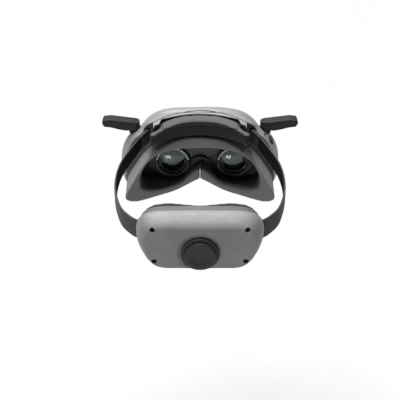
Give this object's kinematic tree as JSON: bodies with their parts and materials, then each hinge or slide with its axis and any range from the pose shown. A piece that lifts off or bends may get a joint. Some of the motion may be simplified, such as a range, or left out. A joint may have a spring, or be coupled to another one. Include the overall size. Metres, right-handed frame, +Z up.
{
  "type": "fpv goggles",
  "caption": "Head-worn video goggles with sliding eyepieces, face foam, folding antennas and a headband whose rear battery unit has a tension knob.",
  "frame": {"origin": "midpoint between the two eyepieces, on the wearer's eye line", "axes": "+X to the wearer's left, +Y backwards through the head to the rear unit, +Z up; the visor looks along -Y"},
  "size_m": [0.204, 0.281, 0.1121],
  "materials": {
    "shell_grey": "fine satin",
    "frame_grey": "fine matte",
    "case_grey": "satin",
    "cover_grey": "fine satin",
    "black_plastic": "matte",
    "bezel_black": "satin",
    "antenna_black": "matte",
    "knob_black": "matte",
    "key_black": "satin",
    "foam_grey": "soft knit over foam",
    "pad_dark": "soft knit over foam",
    "rear_pad_dark": "matte",
    "band_grey": "woven",
    "lens_glass": "coated",
    "camera_glass": "gloss",
    "sensor_tint": "gloss",
    "rubber_black": "matte",
    "steel": "brushed",
    "screw_black": "satin",
    "heat_sink_grey": "matte",
    "board_green": "solder mask",
    "cell_wrap": "film",
    "display_black": "matte"
  },
  "bodies": {
    "visor": {"front_shell": "shell_grey", "rear_frame": "frame_grey", "inner_bezel": "bezel_black", "foam_frame": "frame_grey", "face_foam": "foam_grey", "nose_arch": "rubber_black", "sensor_window": "sensor_tint", "optics_rails": "steel", "main_board": "board_green", "heat_sink": "heat_sink_grey", "fan_housing": "black_plastic", "front_vent": "black_plastic", "left_camera": "black_plastic", "right_camera": "black_plastic", "left_camera_window": "camera_glass", "right_camera_window": "camera_glass", "usb_c_port": "steel", "card_slot": "steel", "stick_socket": "black_plastic", "switch_board": "board_green", "left_antenna_base": "antenna_black", "right_antenna_base": "antenna_black", "forehead_bracket": "black_plastic", "forehead_cushion": "pad_dark", "hinge_pins": "steel"},
    "left_optics": {"left_lens_barrel": "bezel_black", "left_eyepiece": "lens_glass"},
    "right_optics": {"right_lens_barrel": "bezel_black", "right_eyepiece": "lens_glass"},
    "left_focus": {"left_display": "display_black"},
    "right_focus": {"right_display": "display_black"},
    "left_dial": {"left_focus_dial": "knob_black"},
    "right_dial": {"right_focus_dial": "knob_black"},
    "fan": {"fan_rotor": "black_plastic"},
    "stick_outer": {"stick_cradle": "black_plastic"},
    "stick_inner": {"stick_yoke": "black_plastic"},
    "stick": {"stick_cap": "key_black"},
    "back_key": {"back_button": "key_black"},
    "link_key": {"link_button": "key_black"},
    "left_paddle": {"left_antenna": "antenna_black"},
    "right_paddle": {"right_antenna": "antenna_black"},
    "headband": {"left_strap_arm": "black_plastic", "right_strap_arm": "black_plastic", "left_strap": "band_grey", "right_strap": "band_grey"},
    "rear_unit": {"rear_inner_case": "case_grey", "rear_cover": "cover_grey", "rear_pad": "rear_pad_dark", "battery_pack": "cell_wrap", "battery_board": "board_green", "rear_screws": "screw_black", "charge_port": "steel", "knob_bushing": "black_plastic"},
    "power_key": {"power_button": "key_black"},
    "knob": {"tension_knob": "knob_black", "knob_cap": "knob_black"},
    "left_takeup": {"left_rack": "black_plastic"},
    "right_takeup": {"right_rack": "black_plastic"}
  },
  "joints": [
    {"name": "left_ipd_slide", "type": "slide", "parent": "visor", "child": "left_optics", "axis": [1, 0, 0], "range_m": [-0.001, 0.007]},
    {"name": "right_ipd_slide", "type": "slide", "parent": "visor", "child": "right_optics", "axis": [-1, 0, 0], "range_m": [-0.008, 0]},
    {"name": "left_dial_turn", "type": "hinge", "parent": "left_optics", "child": "left_dial", "pos_m": [0.029, -0.018, -0.036], "axis": [0, 0, 1], "range_deg": [-150, 150]},
    {"name": "right_dial_turn", "type": "hinge", "parent": "right_optics", "child": "right_dial", "pos_m": [-0.036, -0.018, -0.036], "axis": [0, 0, 1], "range_deg": [-150, 150]},
    {"name": "left_focus_slide", "type": "slide", "parent": "left_optics", "child": "left_focus", "axis": [0, 1, 0], "range_m": [-0.00135, 0.00135]},
    {"name": "right_focus_slide", "type": "slide", "parent": "right_optics", "child": "right_focus", "axis": [0, 1, 0], "range_m": [-0.00135, 0.00135]},
    {"name": "fan_spin", "type": "hinge", "parent": "visor", "child": "fan", "pos_m": [0, -0.056, -0.004], "axis": [0, 1, 0], "continuous": true},
    {"name": "stick_tilt_across", "type": "hinge", "parent": "visor", "child": "stick_outer", "pos_m": [-0.07128, -0.0086, 0.02056], "axis": [0, 1, 0], "range_deg": [-8, 8], "stiffness_Nm_per_rad": 0.01},
    {"name": "stick_tilt_along", "type": "hinge", "parent": "stick_outer", "child": "stick_inner", "pos_m": [-0.07128, -0.0086, 0.02056], "axis": [-0.6, 0, -0.8], "range_deg": [-8, 8], "stiffness_Nm_per_rad": 0.01},
    {"name": "stick_press", "type": "slide", "parent": "stick_inner", "child": "stick", "axis": [0.8, 0, -0.6], "range_m": [0, 0.0006], "stiffness_N_per_m": 400},
    {"name": "back_button_press", "type": "slide", "parent": "visor", "child": "back_key", "axis": [0.5219, 0, -0.853], "range_m": [0, 0.0006], "stiffness_N_per_m": 300},
    {"name": "link_button_press", "type": "slide", "parent": "visor", "child": "link_key", "axis": [-1, 0, 0], "range_m": [0, 0.0006], "stiffness_N_per_m": 300},
    {"name": "left_antenna_fold", "type": "hinge", "parent": "visor", "child": "left_paddle", "pos_m": [0.0682, -0.0155, 0.036], "axis": [0, 0, -1], "range_deg": [-10, 84]},
    {"name": "right_antenna_fold", "type": "hinge", "parent": "visor", "child": "right_paddle", "pos_m": [-0.0682, -0.0155, 0.036], "axis": [0, 0, 1], "range_deg": [-10, 84]},
    {"name": "headband_tilt", "type": "hinge", "parent": "visor", "child": "headband", "pos_m": [0, 0.008, 0.042], "axis": [1, 0, 0], "range_deg": [-6, 12]},
    {"name": "band_adjust", "type": "slide", "parent": "headband", "child": "rear_unit", "axis": [0, 1, 0], "range_m": [-0.004, 0.026], "deforming": ["left_strap", "right_strap"]},
    {"name": "power_button_press", "type": "slide", "parent": "rear_unit", "child": "power_key", "axis": [0, 0, 1], "range_m": [0, 0.0006], "stiffness_N_per_m": 300},
    {"name": "knob_turn", "type": "hinge", "parent": "rear_unit", "child": "knob", "pos_m": [0, 0.202, 0.0372], "axis": [0, 1, 0], "range_deg": [-33, 214]},
    {"name": "left_rack_slide", "type": "slide", "parent": "rear_unit", "child": "left_takeup", "axis": [1, 0, 0], "range_m": [-0.004, 0.026]},
    {"name": "right_rack_slide", "type": "slide", "parent": "rear_unit", "child": "right_takeup", "axis": [-1, 0, 0], "range_m": [-0.004, 0.026]}
  ],
  "couplings": [
    {"joint": "left_dial_turn", "follows": "left_focus_slide", "rad_per_m": 1939},
    {"joint": "right_dial_turn", "follows": "right_focus_slide", "rad_per_m": 1939},
    {"joint": "knob_turn", "follows": "band_adjust", "rad_per_m": 142.86},
    {"joint": "left_rack_slide", "follows": "band_adjust", "ratio": 1},
    {"joint": "right_rack_slide", "follows": "band_adjust", "ratio": 1}
  ]
}
